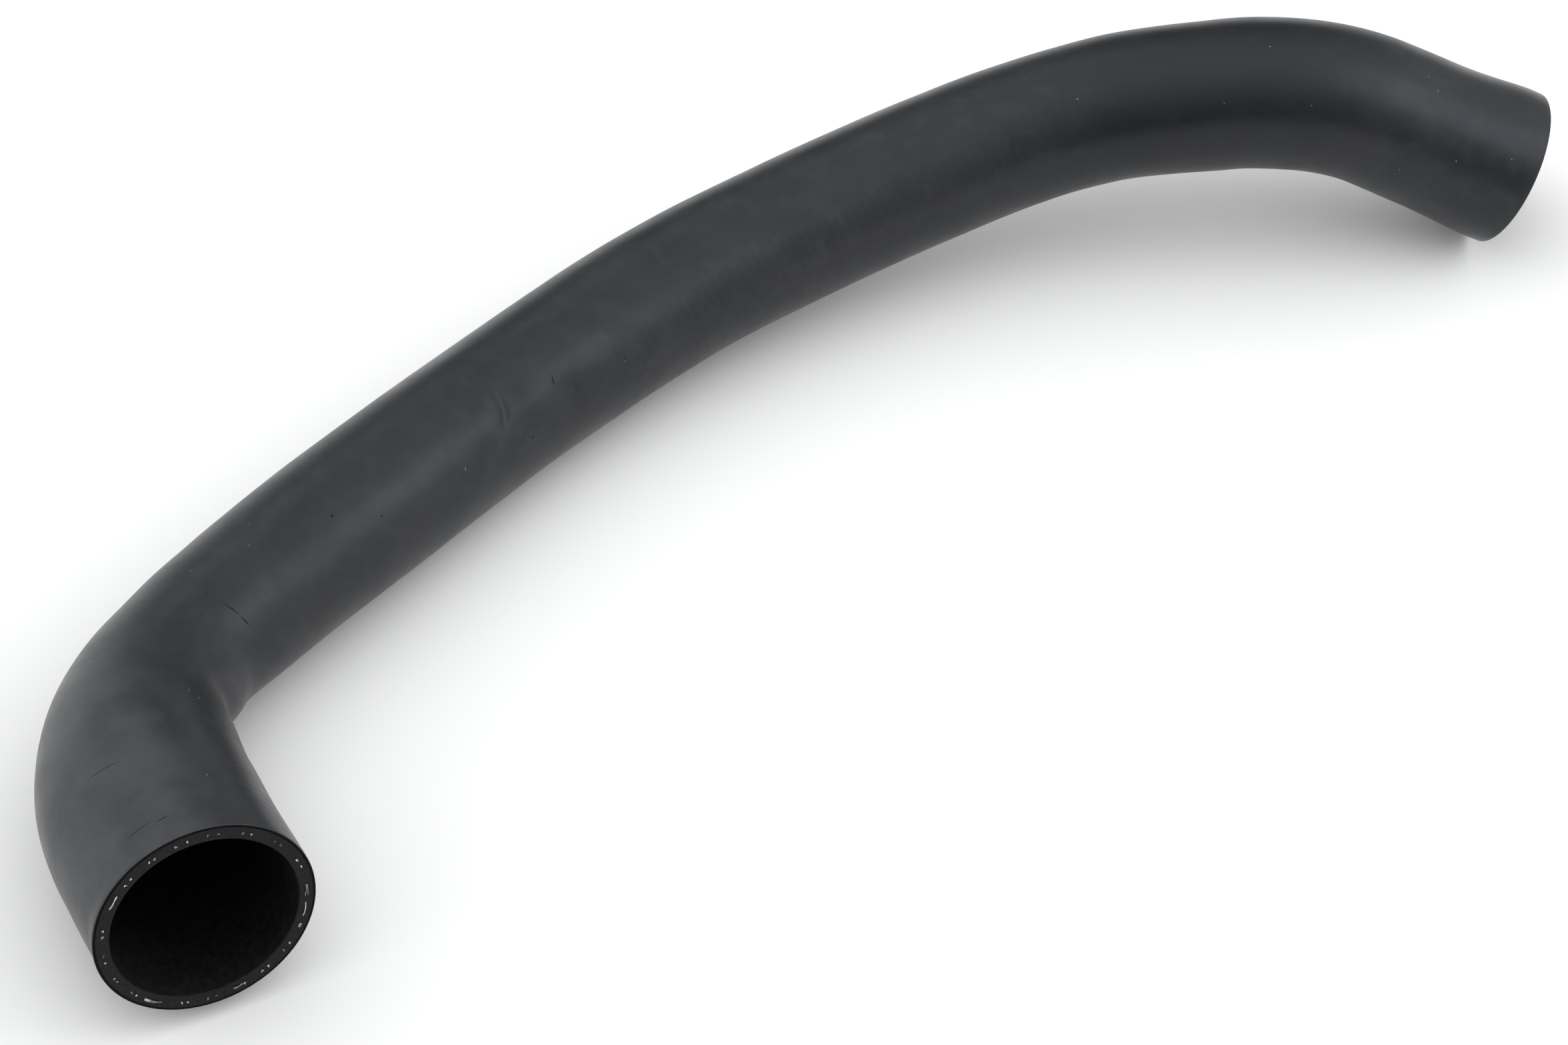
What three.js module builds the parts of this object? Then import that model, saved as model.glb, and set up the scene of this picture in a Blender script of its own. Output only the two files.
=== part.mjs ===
// Charge air hose: a rubber hose moulded in one piece, lying on the floor.
// It is the flexible duct that carries pressed air to an engine's intake pipe.
// Everything is in millimetres and +Z is up. The large end is nearest the
// viewer, at the lower left, and the small end is far away, at the right.
import * as THREE from "three";

const { degToRad, smoothstep } = THREE.MathUtils;

// Bores and wall. A hose is sized by what it is pushed over, so the bore is
// the size that counts and the outside follows from the wall.
const nearBore = 49;
const mainBore = 33.5;
const farBore = 34.8;
const wall = 4.5;

// Where the bore changes, measured along the middle line. The large arm
// keeps its size for a while, then narrows all through the tight elbow.
const nearCuff = 33;
const reducer = 77;
const farCuff = 96;
const farWidening = 50;

// Both mouths are spread a little by the spigots they were pushed over.
const nearFlare = 0.5;
const farFlare = 1.2;
const flareLength = 28;
const lipRound = 0.7;

// The middle line in plan: straight legs from corner to corner, the angle of
// the turn to the right at each corner, and the radius it is bent to.
const firstHeading = 115.1;
const nearLeg = 85;
const elbowAngle = 66.1;
const elbowBend = 72;
const mainLeg = 218.9;
const archAngle = 25.6;
const archBend = 350;
const middleLeg = 122.1;
const easyAngle = 20.9;
const easyBend = 160;
const farLeg = 74.9;
const farAngle = 7;
const farBend = 78;
const lastLeg = 67.7;

// The long run lies on the floor. The large arm is thicker, so it tips up:
// this is how far its rim and its elbow stand off the floor. After the run
// the hose climbs, and its last leg comes down until the far rim touches.
// The arch's arc passes a little above its corner, so that corner is sunk.
const rimLift = 5;
const elbowLift = 2;
const archSink = 0.8;
const climbAngle = 8.4;

// Fineness of the mesh.
const facetsRound = 44;
const coverStep = 8;
const boreStep = 12;

// The angle at which the last leg comes down from a height, so that the
// lowest point of its rim just meets the floor.
function comeDownAngle(height) {
  const rimRadius = farBore / 2 + wall + farFlare;
  const diagonal = Math.hypot(lastLeg, rimRadius);
  return Math.atan2(lastLeg, rimRadius) - Math.acos(height / diagonal);
}

// The corners of the middle line, each at the height at which the hose rests.
function middleCorners() {
  const nearRadius = nearBore / 2 + nearFlare + wall;
  const mainRadius = mainBore / 2 + wall;
  const climb = Math.tan(degToRad(climbAngle));
  const archHeight = mainRadius - archSink;
  const easyHeight = archHeight + climb * middleLeg;
  const topHeight = easyHeight + climb * farLeg;
  const down = comeDownAngle(topHeight);
  const rimHeight = topHeight - lastLeg * Math.sin(down);
  const steps = [
    { leg: nearLeg, turn: elbowAngle, height: mainRadius + elbowLift },
    { leg: mainLeg, turn: archAngle, height: archHeight },
    { leg: middleLeg, turn: easyAngle, height: easyHeight },
    { leg: farLeg, turn: farAngle, height: topHeight },
    { leg: lastLeg * Math.cos(down), turn: 0, height: rimHeight },
  ];
  const corners = [new THREE.Vector3(0, 0, nearRadius + rimLift)];
  let heading = degToRad(firstHeading);
  for (const { leg, turn, height } of steps) {
    const last = corners[corners.length - 1];
    const x = last.x + leg * Math.cos(heading);
    const y = last.y + leg * Math.sin(heading);
    corners.push(new THREE.Vector3(x, y, height));
    heading -= degToRad(turn);
  }
  return corners;
}

// A straight piece of the middle line.
function straight(from, to) {
  const tangent = to.clone().sub(from).normalize();
  return {
    length: from.distanceTo(to),
    at: (d) => ({ point: from.clone().addScaledVector(tangent, d), tangent }),
  };
}

// A corner rounded to an arc that touches both of its legs.
function roundedCorner(before, corner, after, radius) {
  const back = before.clone().sub(corner).normalize();
  const onward = after.clone().sub(corner).normalize();
  const half = back.angleTo(onward) / 2;
  const reach = radius / Math.tan(half);
  const start = corner.clone().addScaledVector(back, reach);
  const end = corner.clone().addScaledVector(onward, reach);
  const inward = back.clone().add(onward).normalize();
  const centre = corner.clone().addScaledVector(inward, radius / Math.sin(half));
  const spoke = start.clone().sub(centre).divideScalar(radius);
  const ahead = back.clone().negate();
  const at = (d) => {
    const cos = Math.cos(d / radius);
    const sin = Math.sin(d / radius);
    const out = spoke.clone().multiplyScalar(cos).addScaledVector(ahead, sin);
    const tangent = ahead.clone().multiplyScalar(cos).addScaledVector(spoke, -sin);
    return { point: centre.clone().addScaledVector(out, radius), tangent };
  };
  return { start, end, length: radius * (Math.PI - 2 * half), at };
}

// The whole middle line: legs and arcs by turns, from the large rim on.
function middleLine() {
  const corners = middleCorners();
  const radii = [elbowBend, archBend, easyBend, farBend];
  const pieces = [];
  let from = corners[0];
  radii.forEach((radius, i) => {
    const arc = roundedCorner(corners[i], corners[i + 1], corners[i + 2], radius);
    pieces.push(straight(from, arc.start), arc);
    from = arc.end;
  });
  pieces.push(straight(from, corners[corners.length - 1]));
  return pieces;
}

const line = middleLine();
const hoseLength = line.reduce((sum, piece) => sum + piece.length, 0);

// The point and the direction of the middle line at a distance along it.
function lineAt(distance) {
  let d = THREE.MathUtils.clamp(distance, 0, hoseLength);
  let i = 0;
  while (i < line.length - 1 && d > line[i].length) {
    d -= line[i].length;
    i += 1;
  }
  return line[i].at(d);
}

// Radius of the bore at a distance along the middle line.
function boreRadius(s) {
  const narrowed = smoothstep(s, nearCuff, nearCuff + reducer);
  const left = hoseLength - s;
  const widened = 1 - smoothstep(left, farCuff, farCuff + farWidening);
  const nearSpread = 1 - smoothstep(s, 0, flareLength);
  const farSpread = 1 - smoothstep(left, 0, flareLength);
  const change = narrowed * (mainBore - nearBore) + widened * (farBore - mainBore);
  return (nearBore + change) / 2 + nearFlare * nearSpread + farFlare * farSpread;
}

// Evenly spaced distances between two ends, both included.
function stations(from, to, step) {
  const count = Math.ceil((to - from) / step);
  return Array.from({ length: count + 1 }, (_, i) => from + ((to - from) * i) / count);
}

// The profile of the straight hose, turned round its axis: up the cover, round
// the far lip, back down the bore and round the near lip to the start.
function wallProfile() {
  const first = lipRound;
  const last = hoseLength - lipRound;
  const soft = lipRound * (1 - Math.SQRT1_2);
  const cover = (s) => boreRadius(s) + wall;
  const points = [];
  const add = (r, s) => points.push(new THREE.Vector2(r, s));
  stations(first, last, coverStep).forEach((s) => add(cover(s), s));
  add(cover(hoseLength) - soft, hoseLength - soft);
  add(cover(hoseLength) - lipRound, hoseLength);
  add(boreRadius(hoseLength) + lipRound, hoseLength);
  add(boreRadius(hoseLength) + soft, hoseLength - soft);
  stations(first, last, boreStep).reverse().forEach((s) => add(boreRadius(s), s));
  add(boreRadius(0) + soft, soft);
  add(boreRadius(0) + lipRound, 0);
  add(cover(0) - lipRound, 0);
  add(cover(0) - soft, soft);
  points.push(points[0].clone());
  return points;
}

// Bend the turned hose: each ring of the straight one moves to its place on
// the middle line and stands square to it.
function bendAlongLine(geometry) {
  const place = geometry.getAttribute("position");
  const vertical = new THREE.Vector3(0, 0, 1);
  for (let i = 0; i < place.count; i += 1) {
    const { point, tangent } = lineAt(place.getY(i));
    const side = tangent.clone().cross(vertical).normalize();
    const up = side.clone().cross(tangent);
    point.addScaledVector(side, place.getX(i)).addScaledVector(up, place.getZ(i));
    place.setXYZ(i, point.x, point.y, point.z);
  }
  geometry.computeVertexNormals();
  return geometry;
}

// Stand the hose on the floor, centred over the origin.
function centreOnFloor(geometry) {
  geometry.computeBoundingBox();
  const { min, max } = geometry.boundingBox;
  return geometry.translate(-(min.x + max.x) / 2, -(min.y + max.y) / 2, -min.z);
}

const rubber = new THREE.MeshStandardMaterial({
  name: "hose_rubber",
  color: 0x3c3d40,
  roughness: 0.62,
  metalness: 0,
});

const turned = new THREE.LatheGeometry(wallProfile(), facetsRound);
const hose = new THREE.Mesh(centreOnFloor(bendAlongLine(turned)), rubber);
hose.name = "hose";

const part = new THREE.Group();
part.name = "charge_air_hose";
part.add(hose);

export default part;
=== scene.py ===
# %% [markdown]
# # Charge air hose
#
# The part is one moulded rubber hose that carries pressed air to an engine's
# intake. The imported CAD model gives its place, its box and its body. This
# lesson puts the real rubber on it: the tight elbow with its fold, the marks
# of the mould and of handling, the cut ends with their yarn, and the light.
#
# Its box is kept, because the dressed hose has to stay inside it.

import math

import bpy
import numpy as np
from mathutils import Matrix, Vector


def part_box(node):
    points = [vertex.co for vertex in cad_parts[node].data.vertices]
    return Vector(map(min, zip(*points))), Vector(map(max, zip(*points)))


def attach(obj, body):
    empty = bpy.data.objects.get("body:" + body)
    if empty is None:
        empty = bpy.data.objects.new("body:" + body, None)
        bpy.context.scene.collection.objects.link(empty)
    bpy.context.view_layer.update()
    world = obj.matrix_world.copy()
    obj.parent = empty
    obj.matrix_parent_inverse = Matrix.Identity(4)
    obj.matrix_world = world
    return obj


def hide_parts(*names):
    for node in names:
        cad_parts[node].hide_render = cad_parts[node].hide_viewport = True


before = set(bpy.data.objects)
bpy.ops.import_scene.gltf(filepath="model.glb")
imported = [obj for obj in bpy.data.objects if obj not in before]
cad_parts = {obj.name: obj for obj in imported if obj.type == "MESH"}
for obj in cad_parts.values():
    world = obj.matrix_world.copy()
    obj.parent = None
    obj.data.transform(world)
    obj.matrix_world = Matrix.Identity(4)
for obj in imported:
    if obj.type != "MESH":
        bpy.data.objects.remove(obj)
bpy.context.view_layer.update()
hose_low, hose_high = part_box("hose")

# %% [markdown]
# ## The camera
#
# The hose lies on a table and is seen from well above, from far off with a
# long lens, so the two ends hardly differ in scale. The camera could be
# parented to an empty and orbited. One that is set by where it stands, how
# far it tips down and its lens is easier to read and never moves by mistake.

# %% Set the camera
CAMERA_PLACE = (-0.0139, -0.9250, 1.0093)
CAMERA_TIP = 47.0
CAMERA_LENS = 114.2

camera = bpy.data.objects.new("camera", bpy.data.cameras.new("camera"))
bpy.context.scene.collection.objects.link(camera)
camera.location = CAMERA_PLACE
camera.rotation_euler = (math.radians(90 - CAMERA_TIP), 0, 0)
camera.data.sensor_width = 36.0
camera.data.lens = CAMERA_LENS
camera.data.clip_end = 20.0
bpy.context.scene.camera = camera
print("camera tips down", CAMERA_TIP, "degrees with a lens of", CAMERA_LENS, "mm")

# %% [markdown]
# ## The middle line
#
# A moulded hose is cured on a bent steel mandrel, so its middle line is what
# a pipe bender would make: straight legs joined by arcs. A Bezier curve drawn
# by eye would come close, but its bends would not be true arcs. The same legs,
# angles and radii as the CAD model's are used, in millimetres, so both lie
# on one line.

# %% Sizes of the hose, in millimetres
MM = 0.001
NEAR_BORE, MAIN_BORE, FAR_BORE, WALL = 49.0, 33.5, 34.8, 4.5
NEAR_CUFF, REDUCER, FAR_CUFF, FAR_WIDENING = 33.0, 77.0, 96.0, 50.0
NEAR_FLARE, FAR_FLARE, FLARE_LENGTH = 0.5, 1.2, 28.0
FIRST_HEADING = 115.1
LEGS = (85.0, 218.9, 122.1, 74.9, 67.7)
ANGLES = (66.1, 25.6, 20.9, 7.0)
BENDS = (72.0, 350.0, 160.0, 78.0)
RIM_LIFT, ELBOW_LIFT, ARCH_SINK, CLIMB = 5.0, 2.0, 0.8, 8.4


# %% Corners, arcs and the whole line
def corner_heights():
    """Heights the corners rest at, and the last leg's length seen from above."""
    main_radius, rim_radius = MAIN_BORE / 2 + WALL, FAR_BORE / 2 + WALL + FAR_FLARE
    arch = main_radius - ARCH_SINK
    easy = arch + math.tan(math.radians(CLIMB)) * LEGS[2]
    top = easy + math.tan(math.radians(CLIMB)) * LEGS[3]
    down = math.atan2(LEGS[4], rim_radius) - math.acos(top / math.hypot(LEGS[4], rim_radius))
    rim = top - LEGS[4] * math.sin(down)
    return (main_radius + ELBOW_LIFT, arch, easy, top, rim), LEGS[4] * math.cos(down)


def middle_corners():
    """The corners of the middle line, each at the height it rests at."""
    heights, last_leg = corner_heights()
    corners = [np.array([0, 0, NEAR_BORE / 2 + NEAR_FLARE + WALL + RIM_LIFT])]
    heading = math.radians(FIRST_HEADING)
    for leg, angle, height in zip(LEGS[:4] + (last_leg,), ANGLES + (0,), heights):
        x, y = corners[-1][:2] + leg * np.array([math.cos(heading), math.sin(heading)])
        corners.append(np.array([x, y, height]))
        heading -= math.radians(angle)
    return corners


def unit(vector):
    return vector / np.linalg.norm(vector)


def line_pieces():
    """Straight pieces and arcs by turns: (length, start, direction, centre or None)."""
    corners = middle_corners()
    pieces, start = [], corners[0]
    for i, bend in enumerate(BENDS):
        back = unit(corners[i] - corners[i + 1])
        onward = unit(corners[i + 2] - corners[i + 1])
        half = math.acos(back @ onward) / 2
        arc_start = corners[i + 1] + back * bend / math.tan(half)
        arc_end = corners[i + 1] + onward * bend / math.tan(half)
        centre = corners[i + 1] + unit(back + onward) * bend / math.sin(half)
        pieces.append((np.linalg.norm(arc_start - start), start, -back, None))
        pieces.append((bend * (math.pi - 2 * half), arc_start, -back, centre))
        start = arc_end
    pieces.append((np.linalg.norm(corners[-1] - start), start, onward, None))
    return pieces


PIECES = line_pieces()
HOSE_LENGTH = sum(piece[0] for piece in PIECES)
print("middle line:", len(PIECES), "pieces,", round(HOSE_LENGTH, 1), "mm long")


def line_at(s):
    """Points and directions of the middle line at the distances s along it."""
    points, ahead = np.zeros((len(s), 3)), np.zeros((len(s), 3))
    begin = 0.0
    for number, (length, start, direction, centre) in enumerate(PIECES):
        last = number == len(PIECES) - 1
        here = (s >= begin) & ((s < begin + length) | last)
        d = (s[here] - begin)[:, None]
        if centre is None:
            points[here] = start + direction * d
            ahead[here] = direction
        else:
            radius = np.linalg.norm(start - centre)
            spoke = (start - centre) / radius
            turn = d / radius
            points[here] = centre + radius * (np.cos(turn) * spoke + np.sin(turn) * direction)
            ahead[here] = np.cos(turn) * direction - np.sin(turn) * spoke
        begin += length
    return points, ahead


# %% [markdown]
# ## The plain wall
#
# The wall is 4.5 mm thick all along. The bore starts wide, narrows through
# the elbow and widens a little at the far end, and both mouths are spread by
# the pipes they were pushed over. One function of the distance along the line
# gives the bore, and the cover is that plus the wall. Smooth steps join the
# stretches, as a mandrel's tapers do.

# %% Bore radius along the line
def smooth_step(x, low, high):
    """0 up to low, 1 from high on, and a soft S between them."""
    t = np.clip((x - low) / (high - low), 0, 1)
    return t * t * (3 - 2 * t)


def bore_radius(s):
    """The bore's radius at the distances s: wide arm, slim run, wider far end."""
    left = HOSE_LENGTH - s
    narrowed = smooth_step(s, NEAR_CUFF, NEAR_CUFF + REDUCER)
    widened = 1 - smooth_step(left, FAR_CUFF, FAR_CUFF + FAR_WIDENING)
    change = narrowed * (MAIN_BORE - NEAR_BORE) + widened * (FAR_BORE - MAIN_BORE)
    near_spread = NEAR_FLARE * (1 - smooth_step(s, 0, FLARE_LENGTH))
    far_spread = FAR_FLARE * (1 - smooth_step(left, 0, FLARE_LENGTH))
    return (NEAR_BORE + change) / 2 + near_spread + far_spread


def bore_at(s):
    """The same at a single distance."""
    return float(bore_radius(np.array([s]))[0])


print("cover across the arm, the run and the far mouth:",
      [round(2 * (bore_at(s) + WALL), 1) for s in (20.0, 250.0, HOSE_LENGTH)])

# %% [markdown]
# ## Where things are on the cover
#
# Every mark on the hose is placed by two numbers: how far along the line it
# is, in millimetres, and its clock angle round the section, in degrees. Zero
# degrees is the right-hand side, as one walks along from the wide mouth, and
# 90 is the top. The inside of the elbow is then near zero degrees.

# %% From distance and clock angle to a place in space
def place_on_ring(s, angle, radius):
    """Places, in millimetres, of points at a radius from the middle line."""
    points, ahead = line_at(s)
    side = np.cross(ahead, (0, 0, 1))
    side /= np.linalg.norm(side, axis=1)[:, None]
    up = np.cross(side, ahead)
    turn = np.radians(angle)[:, None]
    return points + radius[:, None] * (np.cos(turn) * side + np.sin(turn) * up)


def plain_box():
    """Box of the plain cover, which the CAD box is centred on."""
    s, a = np.meshgrid(np.linspace(0, HOSE_LENGTH, 1200), np.arange(0, 360, 2.0))
    s, a = s.ravel(), a.ravel()
    places = place_on_ring(s, a, bore_radius(s) + WALL)
    return places.min(0), places.max(0)


low, high = plain_box()
cad_middle = np.array(hose_low + hose_high) / 2 / MM
SHIFT = cad_middle - (low + high) / 2
SHIFT[2] = hose_low.z / MM - low[2]
print("the line is moved by", np.round(SHIFT, 1), "mm to lie in the CAD box")


def turn_between(a, b):
    """The smallest turn from clock angle b to a, in degrees."""
    return (a - b + 180) % 360 - 180


def patch(s, a, at_s, at_a, long, wide):
    """A soft round hill of height 1 at a place: long in mm, wide in degrees."""
    return np.exp(-((s - at_s) / long) ** 2 - (turn_between(a, at_a) / wide) ** 2)


def strip(a, at_a, wide):
    """A soft ridge of height 1 that runs all along the hose at a clock angle."""
    return np.exp(-(turn_between(a, at_a) / wide) ** 2)


def across(s, at_s, long):
    """A soft ridge of height 1 that runs round the hose at a distance."""
    return np.exp(-((s - at_s) / long) ** 2)


# %% [markdown]
# ## The form of the elbow and the run
#
# Rubber that is slid over a bent mandrel gathers on the inside of a tight
# bend and is drawn thin on the outside. So the inside of this elbow closes to
# a sharp fold with a valley running up from it, and the outside is flattened
# and then full again. All along, its two sides swell and shrink by some tenths
# of a millimetre. Sculpting by hand would do it once. Heights added to the
# radius, as two rows of numbers and as soft hills, can be checked and changed.
# The hills were chosen one by one. The two rows were not: a separate program
# fitted them, a height every 15 mm, to the outline of the real hose.

# %% How far the two sides stand out from the plain hose
SIDE_STEP = 15.0
LEFT_SIDE = (
    -90, 5, 19, -34, -66, -16, -40, -137, -124, -29, 20, 35, 19, -6, -41, -79, -91, -63,
    -21, 10, -2, -34, -66, -75, -80, -75, -83, -75, -15, 37, 30, -20, -57, -32, -16, -1,
    -23, 25,
)
RIGHT_SIDE = (
    1, -22, -14, 28, 102, 48, -125, -13, 68, 37, 18, 45, 63, 59, 76, 78, 72, 70, 43, 2,
    -25, -2, 31, 42, 34, 35, 16, -14, -82, -142, -118, -17, 47, 8, -21, 1, 23, 13,
)


def side_profile(s, hundredths):
    """Heights given in hundredths of a millimetre every SIDE_STEP, joined smoothly."""
    knots = np.arange(len(hundredths)) * SIDE_STEP
    weights = np.exp(-((s[:, None] - knots) / (0.7 * SIDE_STEP)) ** 2)
    return weights @ np.array(hundredths) / weights.sum(1) / 100


# %% Where the two sides are
SIDE_WIDTH = 48.0
LEFT_SIDE_AT = ((0, 40, 85, 120, HOSE_LENGTH), (193, 192, 160, 145, 127))


def uneven_sides(s, a):
    """Both rows of heights, each laid along its own side as a wide soft strip."""
    left = np.interp(s, *LEFT_SIDE_AT)
    on_left = side_profile(s, LEFT_SIDE) * strip(a, left, SIDE_WIDTH)
    on_right = side_profile(s, RIGHT_SIDE) * strip(a, left + 180, SIDE_WIDTH)
    return on_left + on_right


# %% The fold inside the elbow: distance, clock angle, length and width of each hill
FOLD_DEPTH = 1.9
FOLD = (82.6, 354, 5.6, 34)
FULL_BEFORE = (70, 4, 7, 34)
FULL_BEYOND = (99, 0, 6, 34)
CREST_AT, CREST_SLANT = 84, 0.15


def elbow_fold(s, a):
    """A deep fold at the corner, a valley that runs up from it, and a knuckle beyond."""
    fold = -FOLD_DEPTH * patch(s, a, *FOLD)
    fullness = 0.2 * patch(s, a, *FULL_BEFORE) + 0.75 * patch(s, a, *FULL_BEYOND)
    crest = CREST_AT - CREST_SLANT * turn_between(a, 0)
    valley = -0.45 * across(s, crest, 7) * strip(a, 34, 27)
    knuckle = 0.7 * across(s, crest + 10, 5) * strip(a, 12, 28)
    return fold + fullness + valley + knuckle


# %% [markdown]
# ## Marks of making and of handling
#
# A long wrapped hose is never as smooth as a drawing. Its knitted layer shows
# as faint rings on the inside of the arm and, fainter, along the same side of
# the run. The run has a dent where it was handled warm, and the whole surface
# rolls by some hundredths of a millimetre. All of it is in the mesh, so it
# shows from any side.

# %% The rings of the knitted layer
RING_SPACING = 3.1


def knit_rings(s, a):
    """Faint rings on the right flank: clearer on the arm, fainter on the run."""
    wave = np.sin(2 * math.pi * (s + 0.03 * turn_between(a, 0)) / RING_SPACING)
    ring = np.abs(wave) ** 0.6 * np.sign(wave)
    arm = smooth_step(s, 2, 9) * (1 - smooth_step(s, 58, 76)) * strip(a, 0, 27)
    run = smooth_step(s, 225, 290) * (1 - smooth_step(s, 390, 440)) * strip(a, 8, 36)
    return ring * (0.10 * arm + 0.024 * run)


# %% The dent on the run, with the same four numbers for each hill
CREASE_AT, CREASE_BOW, CREASE_DEPTH = 218.2, 0.0064, 0.62
HOLLOW = (222.5, 61, 5, 15)
SWELL_BEFORE = (209.5, 47, 6, 18)
SWELL_BEYOND = (227, 41, 5, 15)
SECOND_HOLLOW = (239, 25, 4, 14)
SECOND_SWELL = (247, 50, 8, 22)


def run_dents(s, a):
    """A bowed crease between two swells, a hollow above it and a second one beyond."""
    bow = CREASE_AT - CREASE_BOW * turn_between(a, 60) ** 2
    crease = -CREASE_DEPTH * across(s, bow, 1.5) * strip(a, 45, 15)
    hollow = -0.65 * patch(s, a, *HOLLOW)
    swell = 0.60 * patch(s, a, *SWELL_BEFORE) + 0.45 * patch(s, a, *SWELL_BEYOND)
    second = -0.60 * patch(s, a, *SECOND_HOLLOW) + 0.30 * patch(s, a, *SECOND_SWELL)
    return crease + hollow + swell + second


# %% Slow rolling of the surface
rolls = np.random.default_rng(11)
ROLL_WAVES = [(rolls.uniform(25, 90), int(rolls.integers(0, 4)), rolls.uniform(0, 6.28),
               rolls.uniform(0.004, 0.012)) for _ in range(14)]


def unevenness(s, a):
    """The sum of long shallow waves that run along and round the hose."""
    total = 0
    for length, lobes, start, height in ROLL_WAVES:
        total = total + height * np.cos(2 * math.pi * s / length + lobes * np.radians(a) + start)
    return total


def cover_detail(s, a):
    """All that is added to the plain cover's radius; it fades out at the lips."""
    away_from_lips = smooth_step(s, 0, 5) * smooth_step(HOSE_LENGTH - s, 0, 5)
    form = uneven_sides(s, a) + elbow_fold(s, a)
    return (form + knit_rings(s, a) + run_dents(s, a) + unevenness(s, a)) * away_from_lips


# %% [markdown]
# ## One closed skin
#
# The hose could be a curve with a bevel and a Solidify modifier, but neither
# knows about the fold or the lips. Here a grid of rings is laid over the cover,
# round the far lip, back through the bore and round the near lip, and the
# first ring is used again at the end. The skin is closed, with no loose edge.
# Rings stand closer where the small detail is: on the arm, in the elbow and on
# the long run.

# %% The rings, in order
AROUND = 132
LIP = 0.35
STRETCHES = ((LIP, 130, 0.65), (130, 200, 1.2), (200, 410, 0.7), (410, HOSE_LENGTH - LIP, 1.6))
FACE_RINGS, BORE_RINGS = 6, 76
# The last finish is painted shade: a near-black band on the outer rounding of each lip
COVER, CUT, BORE, SHADED_LIP_EDGE = 0, 1, 2, 3


def lip_rings(end, inward):
    """Rings round a lip, from the cover to the bore: distance, radius and finish."""
    inner = bore_at(end)
    outer = inner + WALL

    def rounded(t):
        return end + inward * LIP * (1 - math.sin(t)), LIP * (1 - math.cos(t))

    # The outer rounding and the face's outermost band take the near-black edge finish, which is
    # painted shade along the rim
    edge = [(rounded(t)[0], outer - rounded(t)[1], finish)
            for t, finish in ((0.5, COVER), (1.0, COVER), (1.5, SHADED_LIP_EDGE))]
    face = [(end, outer - 2.2 * LIP, SHADED_LIP_EDGE)]
    face += [(end, radius, CUT)
             for radius in np.linspace(outer - 2.4 * LIP, inner + 1.6 * LIP, FACE_RINGS)]
    mouth = [(rounded(t)[0], inner + rounded(t)[1], CUT) for t in (1.5, 1.0, 0.5)]
    return edge + face + mouth


def ring_list():
    """All the rings; a cover ring has no radius of its own, because it isn't round."""
    along = np.concatenate([np.arange(*stretch) for stretch in STRETCHES] + [[HOSE_LENGTH - LIP]])
    cover = [(s, None, COVER) for s in along]
    bore = [(s, bore_at(s), BORE) for s in np.linspace(HOSE_LENGTH - LIP, LIP, BORE_RINGS)]
    return cover + lip_rings(HOSE_LENGTH, -1) + bore + lip_rings(0.0, 1)[::-1]


RINGS = ring_list()
print(len(RINGS), "rings of", AROUND, "points")


# %% The mesh
def hose_mesh():
    """The skin's mesh, with the distance and the clock angle of each of its points."""
    angles = np.arange(AROUND) * 360 / AROUND - 90
    s = np.repeat([ring[0] for ring in RINGS], AROUND)
    a = np.tile(angles, len(RINGS))
    plain = np.array([np.nan if ring[1] is None else ring[1] for ring in RINGS])
    radius = np.repeat(plain, AROUND)
    cover = np.isnan(radius)
    radius[cover] = bore_radius(s[cover]) + WALL + cover_detail(s[cover], a[cover])
    places = (place_on_ring(s, a, radius) + SHIFT) * MM
    count = len(RINGS)
    ring = np.arange(count)[:, None]
    spot = np.arange(AROUND)[None, :]
    after_ring, after_spot = (ring + 1) % count, (spot + 1) % AROUND
    faces = np.stack([ring * AROUND + spot, ring * AROUND + after_spot,
                      after_ring * AROUND + after_spot, after_ring * AROUND + spot], axis=-1)
    mesh = bpy.data.meshes.new("hose_skin")
    mesh.from_pydata(places.tolist(), [], faces.reshape(-1, 4).tolist())
    finish = np.array([r[2] for r in RINGS])
    of_face = np.maximum(finish, np.roll(finish, -1))
    mesh.polygons.foreach_set("material_index", np.repeat(of_face, AROUND).astype(np.int32))
    mesh.polygons.foreach_set("use_smooth", np.ones(count * AROUND, bool))
    return mesh, s, a


skin, skin_s, skin_a = hose_mesh()
skin.update()
hose = bpy.data.objects.new("hose_rubber_wall", skin)
bpy.context.scene.collection.objects.link(hose)
print("skin:", len(skin.polygons), "faces")


# %% Along and around as a map
MAP_RADIUS = 0.024


def add_map(mesh, s, a):
    """A UV map in metres: U goes round the hose and V along it."""
    layer = mesh.uv_layers.new(name="along_and_around")
    index = np.zeros(len(mesh.loops), np.int32)
    mesh.loops.foreach_get("vertex_index", index)
    around = ((a + 90) % 360)[index].reshape(-1, 4)
    seam = (around.max(1) - around.min(1)) > 180
    around[seam] = np.where(around[seam] < 180, around[seam] + 360, around[seam])
    u = np.radians(around.ravel()) * MAP_RADIUS
    layer.data.foreach_set("uv", np.stack([u, s[index] * MM], axis=1).ravel())


add_map(skin, skin_s, skin_a)

# %% [markdown]
# ## Finishes
#
# The cover is matt black rubber with a dusty, faintly blue bloom. It is rough
# enough for the bright room to show in it only as broad soft bands, and its
# edges are paler because any surface reflects more when it is seen aslant. The
# finish is made from noise in the object's own space, which has no seam and
# stays the same from any camera. Numbers that are the same all over are set on
# the shader.

# %% A small kit for shader nodes
def new_material(name, roughness, specular):
    material = bpy.data.materials.new(name)
    material.use_nodes = True
    shader = material.node_tree.nodes["Principled BSDF"]
    shader.inputs["Roughness"].default_value = roughness
    shader.inputs["Specular IOR Level"].default_value = specular
    return material, material.node_tree, shader


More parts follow.
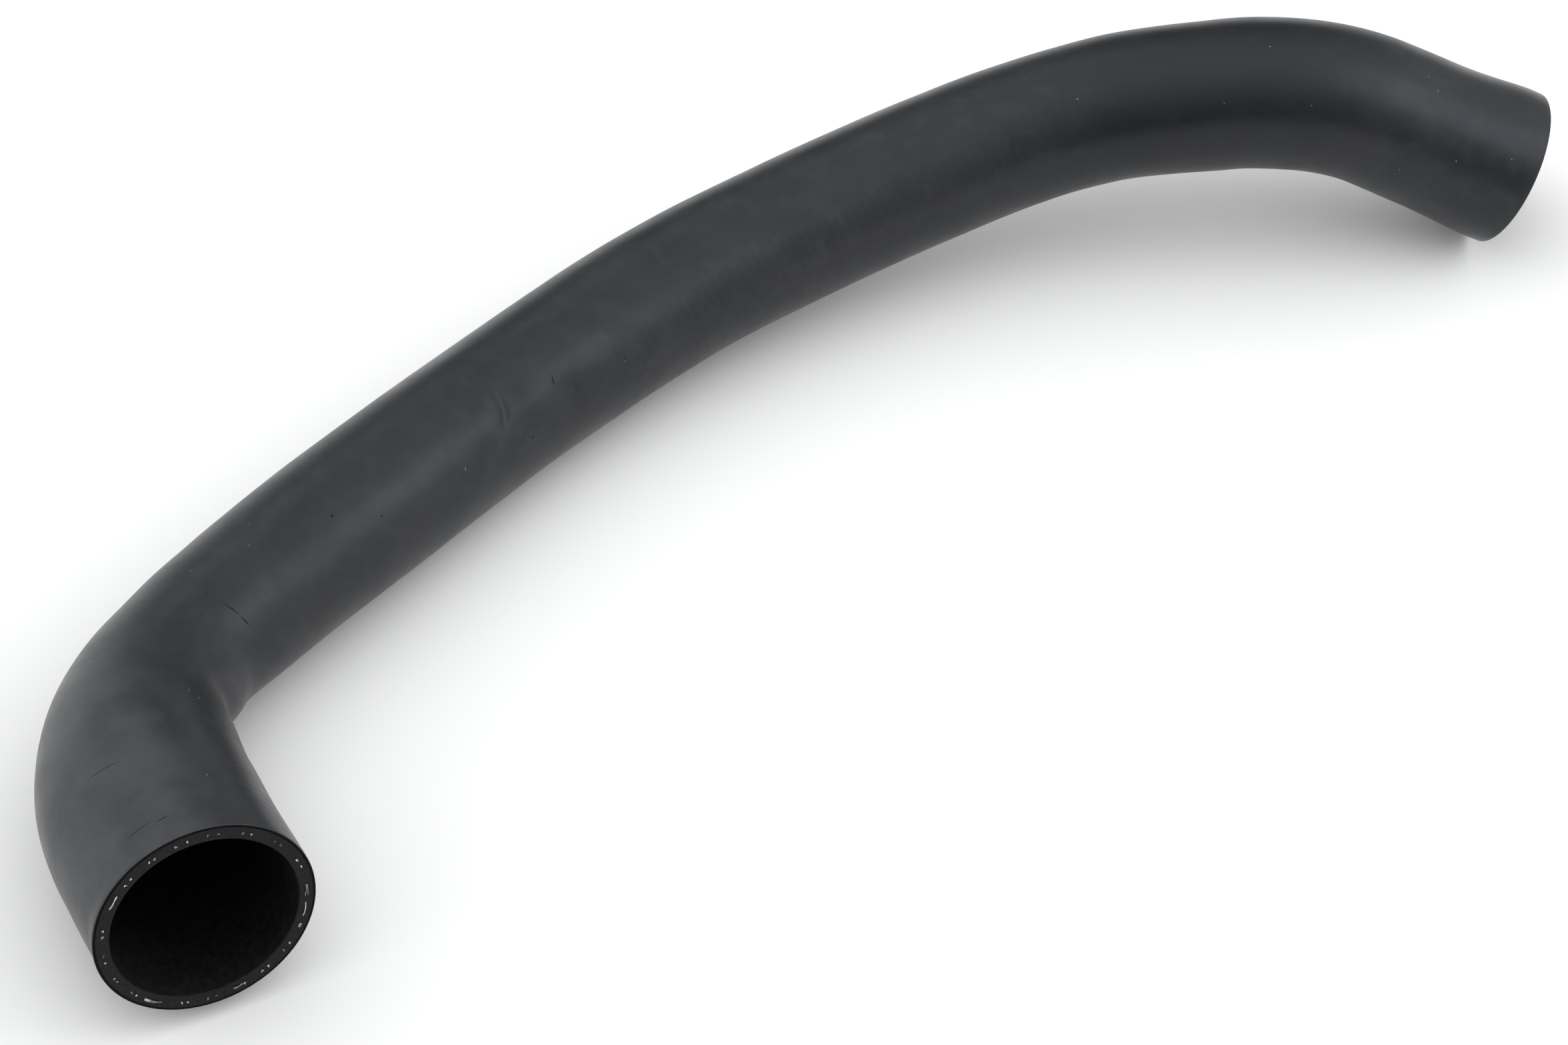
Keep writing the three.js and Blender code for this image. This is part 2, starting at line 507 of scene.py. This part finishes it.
def add_node(tree, kind, settings=None, **inputs):
    """A new node; an input is given by its name, with _ for a space."""
    node = tree.nodes.new(kind)
    for key, value in (settings or {}).items():
        setattr(node, key, value)
    for key, value in inputs.items():
        fill_socket(tree, node.inputs[key.replace("_", " ")], value)
    return node


def fill_socket(tree, socket, value):
    """Join a socket to another, or give it a plain value."""
    if isinstance(value, bpy.types.NodeSocket):
        tree.links.new(value, socket)
    else:
        socket.default_value = value


# %% Nodes for numbers and colours
def calculate(tree, operation, first, second):
    node = add_node(tree, "ShaderNodeMath", {"operation": operation})
    fill_socket(tree, node.inputs[0], first)
    fill_socket(tree, node.inputs[1], second)
    return node.outputs[0]


def noise(tree, place, scale, detail=2.0, roughness=0.5):
    node = add_node(tree, "ShaderNodeTexNoise", Vector=place, Scale=scale, Detail=detail,
                    Roughness=roughness)
    return node.outputs["Fac"]


def levels(tree, value, low, high, to_low=0.0, to_high=1.0):
    """A value stretched from one range to another, with soft ends."""
    node = add_node(tree, "ShaderNodeMapRange", {"interpolation_type": "SMOOTHSTEP"},
                    Value=value, From_Min=low, From_Max=high, To_Min=to_low, To_Max=to_high)
    return node.outputs["Result"]


def blend_colours(tree, factor, first, second):
    node = add_node(tree, "ShaderNodeMix", {"data_type": "RGBA"})
    for index, value in ((0, factor), (6, first), (7, second)):
        fill_socket(tree, node.inputs[index], value)
    return node.outputs[2]


def bump(tree, height, strength, distance, normal=None):
    node = add_node(tree, "ShaderNodeBump", Height=height, Strength=strength, Distance=distance)
    if normal is not None:
        tree.links.new(normal, node.inputs["Normal"])
    return node.outputs["Normal"]


# %% [markdown]
# ## Small marks
#
# Handling leaves specks of pale dust, a few pin holes and some thin cuts on
# the cover. They are finer than the mesh, so they are drawn by the finish: a
# mark is a soft spot round one place on the map that goes along and around the
# hose. Long thin spots make the cuts. Two wide faint ones are painted light and
# painted shade: a paler grey on the arm's top and a darker black on the far bend.

# %% Where the marks are: distance, clock angle, half length, half width, slant
PALE_SPECKS = (
    (115.3, 99, 0.25, 0.25, 0), (131.5, 84, 0.3, 0.25, 0), (137.2, 99, 0.25, 0.2, 0),
    (77.5, 120, 0.25, 0.35, 0), (21.1, 66, 0.35, 0.3, 0), (197.1, 30, 0.25, 0.8, 30),
    (477.1, 78, 0.35, 0.3, 0), (464.9, 36, 0.25, 0.2, 0), (487.4, 33, 0.25, 0.25, 0),
    (519.3, 72, 0.4, 0.35, 0), (518.0, 3, 0.35, 0.3, 0), (531.5, 27, 0.35, 0.35, 0),
    (546.4, 44, 0.3, 0.3, 0), (515.8, 81, 0.3, 0.25, 0), (422.5, 58, 0.45, 0.35, 20),
    (260.1, 25, 0.3, 0.2, 40), (64.5, 49, 0.25, 0.9, 70), (66.5, 55, 0.2, 0.7, 60),
)
DARK_MARKS = (
    (155.2, 63, 0.5, 0.5, 0), (167.2, 41, 0.35, 0.35, 0), (222.1, 16, 0.45, 0.45, 0),
    (111.5, 75, 0.3, 0.35, 0), (113.0, 54.8, 0.22, 3.4, -16), (114.0, 42, 0.26, 2.4, -8),
    (9.3, 111, 0.14, 4.6, -4), (8.6, 98, 0.22, 2.4, -8), (35.0, 112, 0.14, 5.5, 8),
    (236.0, 44, 0.2, 2.2, 17), (260.8, 27, 0.25, 1.0, 30), (242.1, 30.4, 0.3, 0.45, 0),
)


# %% A mark at a place on the map
def mark(tree, chart, s, a, long, wide, slant):
    """A soft spot, 1 in its middle and 0 outside, as a node socket."""
    place = (math.radians((a + 90) % 360) * MAP_RADIUS, s * MM, 0)
    near = add_node(tree, "ShaderNodeMapping", {"vector_type": "TEXTURE"}, Vector=chart,
                    Location=place, Rotation=(0, 0, math.radians(slant)),
                    Scale=(wide * MM, long * MM, 1))
    away = add_node(tree, "ShaderNodeVectorMath", {"operation": "LENGTH"},
                    Vector=near.outputs["Vector"])
    return levels(tree, away.outputs["Value"], 0.35, 1.0, 1.0, 0.0)


def all_marks(tree, chart, places):
    """All the marks of one kind, joined into one socket."""
    total = mark(tree, chart, *places[0])
    for place in places[1:]:
        total = calculate(tree, "MAXIMUM", total, mark(tree, chart, *place))
    return total


print(len(PALE_SPECKS), "pale specks and", len(DARK_MARKS), "cuts and pin holes")


# %% The cover's colours
COOL_BLACK = (0.0118, 0.0133, 0.0150, 1)
WARM_BLACK = (0.0160, 0.0157, 0.0162, 1)
GREY_BLOOM = (0.026, 0.0265, 0.028, 1)
# The next two are painted light and painted shade: a paler grey for the arm's top, a darker black
# for the far bend
PAINTED_LIGHT_GREY = (0.044, 0.0445, 0.047, 1)
PAINTED_SHADE_BLACK = (0.007, 0.0075, 0.0085, 1)
SPECK_GREY = (0.22, 0.22, 0.21, 1)
CUT_BLACK = (0.002, 0.002, 0.002, 1)
# Painted light on the arm's top and painted shade on the far bend: distance, clock angle, half
# length, half width, slant
PAINTED_LIGHT_ARM_TOP = (26, 108, 90, 27, 0)
PAINTED_SHADE_FAR_BEND = (462, 45, 60, 80, 0)


def rubber_colour(tree, place):
    """Black between cool and warm, with a grey bloom in small patches."""
    warmth = levels(tree, noise(tree, place, 45, 3), 0.38, 0.62)
    black = blend_colours(tree, warmth, COOL_BLACK, WARM_BLACK)
    bloom = levels(tree, noise(tree, place, 150, 4, 0.65), 0.42, 0.78, 0, 0.6)
    return blend_colours(tree, bloom, black, GREY_BLOOM)


def colour_with_painted_light_and_shade(tree, place, chart, colour):
    """The same with painted light on the arm's top, in blotches, and painted shade on the far bend.
    """
    patches = levels(tree, noise(tree, place, 55, 4, 0.6), 0.32, 0.66, 0.3, 0.9)
    painted_light = calculate(tree, "MULTIPLY", mark(tree, chart, *PAINTED_LIGHT_ARM_TOP), patches)
    colour = blend_colours(tree, painted_light, colour, PAINTED_LIGHT_GREY)
    painted_shade = levels(tree, mark(tree, chart, *PAINTED_SHADE_FAR_BEND), 0, 1, 0, 0.7)
    return blend_colours(tree, painted_shade, colour, PAINTED_SHADE_BLACK)


# %% The cover's relief, with heights in metres
GRAIN_SCALE, GRAIN_HEIGHT = 1300, 0.00003
PEEL_SCALE, PEEL_HEIGHT = 260, 0.00007
CUT_DEPTH, SPECK_HEIGHT = 0.0002, 0.0001


def fine_relief(tree, place, specks, cuts):
    """Grain, orange peel, sunken cuts and raised specks, as a bump."""
    normal = bump(tree, noise(tree, place, GRAIN_SCALE, 3, 0.6), 0.5, GRAIN_HEIGHT)
    normal = bump(tree, noise(tree, place, PEEL_SCALE, 3, 0.6), 0.5, PEEL_HEIGHT, normal)
    normal = bump(tree, cuts, 1.0, -CUT_DEPTH, normal)
    return bump(tree, specks, 0.6, SPECK_HEIGHT, normal)


# %% The cover's rubber
SKIN_TINT = (0.92, 0.934, 1.0, 1)
SKIN_ROUGHNESS = (0.31, 0.40)


def cover_rubber():
    material, tree, shader = new_material("cover_rubber", 0.34, 0.32)
    shader.inputs["Specular Tint"].default_value = SKIN_TINT
    shader.inputs["Sheen Weight"].default_value = 0.05
    shader.inputs["Sheen Roughness"].default_value = 0.3
    source = add_node(tree, "ShaderNodeTexCoord")
    place, chart = source.outputs["Object"], source.outputs["UV"]
    specks = all_marks(tree, chart, PALE_SPECKS)
    cuts = all_marks(tree, chart, DARK_MARKS)
    colour = colour_with_painted_light_and_shade(tree, place, chart, rubber_colour(tree, place))
    colour = blend_colours(tree, levels(tree, specks, 0, 1, 0, 0.6), colour, SPECK_GREY)
    colour = blend_colours(tree, levels(tree, cuts, 0, 1, 0, 0.8), colour, CUT_BLACK)
    tree.links.new(colour, shader.inputs["Base Color"])
    rough = levels(tree, noise(tree, place, 70, 5, 0.65), 0.32, 0.68, *SKIN_ROUGHNESS)
    tree.links.new(calculate(tree, "MAXIMUM", rough, cuts), shader.inputs["Roughness"])
    tree.links.new(fine_relief(tree, place, specks, cuts), shader.inputs["Normal"])
    return material


# %% The cut ends, the painted shade on the lips' outer edge, and the bore
def grainy_rubber(name, roughness, specular, scale, dark, pale):
    """Plain black rubber with a grain between two tones."""
    material, tree, shader = new_material(name, roughness, specular)
    place = add_node(tree, "ShaderNodeTexCoord").outputs["Object"]
    grain = noise(tree, place, scale, 3, 0.6)
    tone = levels(tree, grain, 0.35, 0.7)
    colour = blend_colours(tree, tone, (dark, dark, dark, 1), (pale, pale, pale, 1))
    tree.links.new(colour, shader.inputs["Base Color"])
    tree.links.new(bump(tree, grain, 0.4, 0.00012), shader.inputs["Normal"])
    return material


# The near-black edge rubber is painted shade on each lip's outer rounding, not a rubber of its own
finishes = (cover_rubber(), grainy_rubber("cut_rubber", 0.62, 0.18, 1200, 0.004, 0.010),
            grainy_rubber("bore_rubber", 0.7, 0.15, 500, 0.003, 0.008),
            grainy_rubber("painted_shade_lip", 0.7, 0.08, 900, 0.001, 0.002))
for material in finishes:
    skin.materials.append(material)
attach(hose, "root")
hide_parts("hose")
print("finishes on the hose:", [m.name for m in skin.materials])

# %% [markdown]
# ## The yarn in the cut ends
#
# A layer of knitted yarn lies in the middle of the wall and takes the
# pressure. Where the hose was cut, its ends show in pairs as pale dots, and
# some are frayed and smeared along the cut. They could be painted on, but they
# stand a little out of the face and catch light, so each is a tuft of short
# fibres: curves with a round bevel, thinner towards the tip.

# %% Where the yarns come out, as clock angles round the face
YARN_RADIUS = 27.0
NEAR_DOTS = (
    98.6, 92.2, 80.6, 74.8, 60.8, 55.7, 39.6, 35.1, 18.7, 13.0, 358.4, 329.9, 331.3,
    318.5, 313.1, 300.8, 296.4, 285.2, 268.5, 264, 252.5, 248.6, 219.7, 215.5, 202.7,
    199.7, 186.1, 180.8, 167.7, 163.4, 132.7, 127.7, 114.5, 111.3,
)
NEAR_SMEARS = (
    (357, 351, 2), (346, 337, 2), (283.5, 278.5, 2), (237.0, 226.0, 6), (149.0, 140.5, 5),
)
FAR_DOTS = tuple(18 * i + turn for i in range(20) for turn in (0.0, 7.2))
FAR_SMEARS = ((20, 27, 3), (201, 207, 2))


# %% A place on an end face
def on_face(near, angle, radius, height):
    """A place at a clock angle and a radius, this far out of the near or far face."""
    s = np.array([0.0 if near else HOSE_LENGTH])
    ahead = line_at(s)[1][0]
    place = place_on_ring(s, np.array([angle]), np.array([radius]))[0]
    return (place + SHIFT + (-ahead if near else ahead) * height) * MM


# %% Fibres
FIBRE_RADIUS = 0.10
FIBRES_IN_A_TUFT = 7
LYING_HEIGHTS = (-0.1, 0.12, 0.2, 0.24, 0.22, 0.16, 0.02)
dice = np.random.default_rng(5)


def standing_fibre(near, angle, radius):
    """A short fibre that stands out of the face, a little aslant."""
    a, r = angle + dice.uniform(-0.4, 0.4), radius + dice.uniform(-0.18, 0.18)
    lean_a, lean_r, tall = dice.uniform(-0.7, 0.7), dice.uniform(-0.3, 0.3), dice.uniform(0.12, 0.4)
    return [on_face(near, a, r, -0.2), on_face(near, a + lean_a / 2, r + lean_r / 2, tall * 0.7),
            on_face(near, a + lean_a, r + lean_r, tall)]


def lying_fibre(near, start, end, radius):
    """A fibre pulled out of the face and smeared along it."""
    count = len(LYING_HEIGHTS)
    angles = np.linspace(start + dice.uniform(-0.6, 0.6), end + dice.uniform(-0.6, 0.6), count)
    radii = radius + dice.uniform(-0.25, 0.25) + np.cumsum(dice.uniform(-0.16, 0.16, count))
    return [on_face(near, a, r, h) for a, r, h in zip(angles, radii, LYING_HEIGHTS)]


# %% The yarn ends of one face
def all_fibres(near, radius, dots, smears):
    """Tufts at the dots, then the smears, in the order the dice are thrown."""
    fibres = [standing_fibre(near, dot, radius) for dot in dots for _ in range(FIBRES_IN_A_TUFT)]
    for start, end, count in smears:
        fibres += [lying_fibre(near, start, end, radius) for _ in range(count)]
    return fibres


def yarn_ends(name, near, radius, dots, smears):
    """One piece that holds all the fibres of a face, as a plain mesh."""
    curve = bpy.data.curves.new(name, "CURVE")
    curve.dimensions = "3D"
    curve.bevel_depth = FIBRE_RADIUS * MM
    curve.bevel_resolution = 1
    curve.use_fill_caps = True
    fibres = all_fibres(near, radius, dots, smears)
    for fibre in fibres:
        spline = curve.splines.new("POLY")
        spline.points.add(len(fibre) - 1)
        for number, (point, place) in enumerate(zip(spline.points, fibre)):
            point.co = (*place, 1)
            point.radius = 1.0 if number < len(fibre) - 1 else 0.5
    drawn = bpy.data.objects.new(name + "_curve", curve)
    piece = bpy.data.objects.new(name, bpy.data.meshes.new_from_object(drawn))
    bpy.data.objects.remove(drawn)
    bpy.context.scene.collection.objects.link(piece)
    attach(piece, "root")
    print(name, "has", len(fibres), "fibres")
    return piece


# %% The yarn's finish, and the two faces
SOILED_YARN = (0.10, 0.10, 0.095, 1)
CLEAN_YARN = (0.72, 0.72, 0.68, 1)


def pale_yarn():
    material, tree, shader = new_material("pale_yarn", 0.75, 0.3)
    place = add_node(tree, "ShaderNodeTexCoord").outputs["Object"]
    clean = levels(tree, noise(tree, place, 180, 2), 0.35, 0.65)
    colour = blend_colours(tree, clean, SOILED_YARN, CLEAN_YARN)
    tree.links.new(colour, shader.inputs["Base Color"])
    tree.links.new(bump(tree, noise(tree, place, 6000), 0.5, 0.00003), shader.inputs["Normal"])
    return material


yarn_finish = pale_yarn()
far_radius = bore_at(HOSE_LENGTH) + WALL / 2
for yarns in (yarn_ends("yarn_ends_near", True, YARN_RADIUS, NEAR_DOTS, NEAR_SMEARS),
              yarn_ends("yarn_ends_far", False, far_radius, FAR_DOTS, FAR_SMEARS)):
    yarns.data.materials.append(yarn_finish)

# %% [markdown]
# ## The floor and the light
#
# Product photographs of black rubber use a pale table in a bright room: small
# lamps would draw hard lines on it. This room glows overhead and at both sides
# and is dim in front and behind, so the hose shows a soft band along its top
# and its cut end stays dark. Three large soft lamps, at the left, behind and at
# the right, lift the arm's flank and the lower edges.

# %% The floor
FLOOR_WHITE = (0.92, 0.895, 0.87, 1)
FLOOR_DROP = 0.0002


def build_floor():
    """A wide sheet, a fifth of a millimetre down, so no low spot of the skin cuts it."""
    mesh = bpy.data.meshes.new("floor")
    mesh.from_pydata([(-4, -4, 0), (4, -4, 0), (4, 4, 0), (-4, 4, 0)], [], [(0, 1, 2, 3)])
    floor = bpy.data.objects.new("floor", mesh)
    floor.location.z = -FLOOR_DROP
    bpy.context.scene.collection.objects.link(floor)
    material, tree, shader = new_material("pale_floor", 0.9, 0.1)
    shader.inputs["Base Color"].default_value = FLOOR_WHITE
    mesh.materials.append(material)


build_floor()


# %% The lamps
COOL_WHITE = (0.94, 0.971, 1.0)
AIM = Vector((0, 0, 0.02))


def soft_lamp(name, turn, rise, distance, size, power):
    """A lamp that looks at the hose: turn from +X and rise in degrees, in metres and watts."""
    turn, rise = math.radians(turn), math.radians(rise)
    way = Vector((math.cos(rise) * math.cos(turn), math.cos(rise) * math.sin(turn), math.sin(rise)))
    light = bpy.data.lights.new(name, "AREA")
    light.shape = "RECTANGLE"
    light.size, light.size_y = size
    light.energy = power
    light.color = COOL_WHITE
    lamp = bpy.data.objects.new(name, light)
    bpy.context.scene.collection.objects.link(lamp)
    lamp.location = AIM + way * distance
    lamp.rotation_euler = (-way).to_track_quat("-Z", "Y").to_euler()


soft_lamp("left_lamp", 140, 12, 1.1, (0.9, 0.35), 0.55)
soft_lamp("back_lamp", 120, 40, 1.5, (0.9, 0.7), 1.2)
soft_lamp("right_lamp", 355, 40, 0.9, (0.6, 0.5), 1.2)


# %% The room
ROOM_GLOW = 1.57


def bright_room(strength):
    """A room that glows like an arch from left to right, dim in front and behind."""
    world = bpy.data.worlds.new("pale_room")
    world.use_nodes = True
    tree = world.node_tree
    way = add_node(tree, "ShaderNodeTexCoord").outputs["Generated"]
    depth = add_node(tree, "ShaderNodeSeparateXYZ", Vector=way).outputs["Y"]
    arch = calculate(tree, "SUBTRACT", 1.0, calculate(tree, "MULTIPLY", depth, depth))
    background = tree.nodes["Background"]
    background.inputs["Color"].default_value = (*COOL_WHITE, 1)
    tree.links.new(calculate(tree, "MULTIPLY", arch, strength), background.inputs["Strength"])
    bpy.context.scene.world = world


bright_room(ROOM_GLOW)
bpy.context.scene.view_settings.view_transform = "Standard"
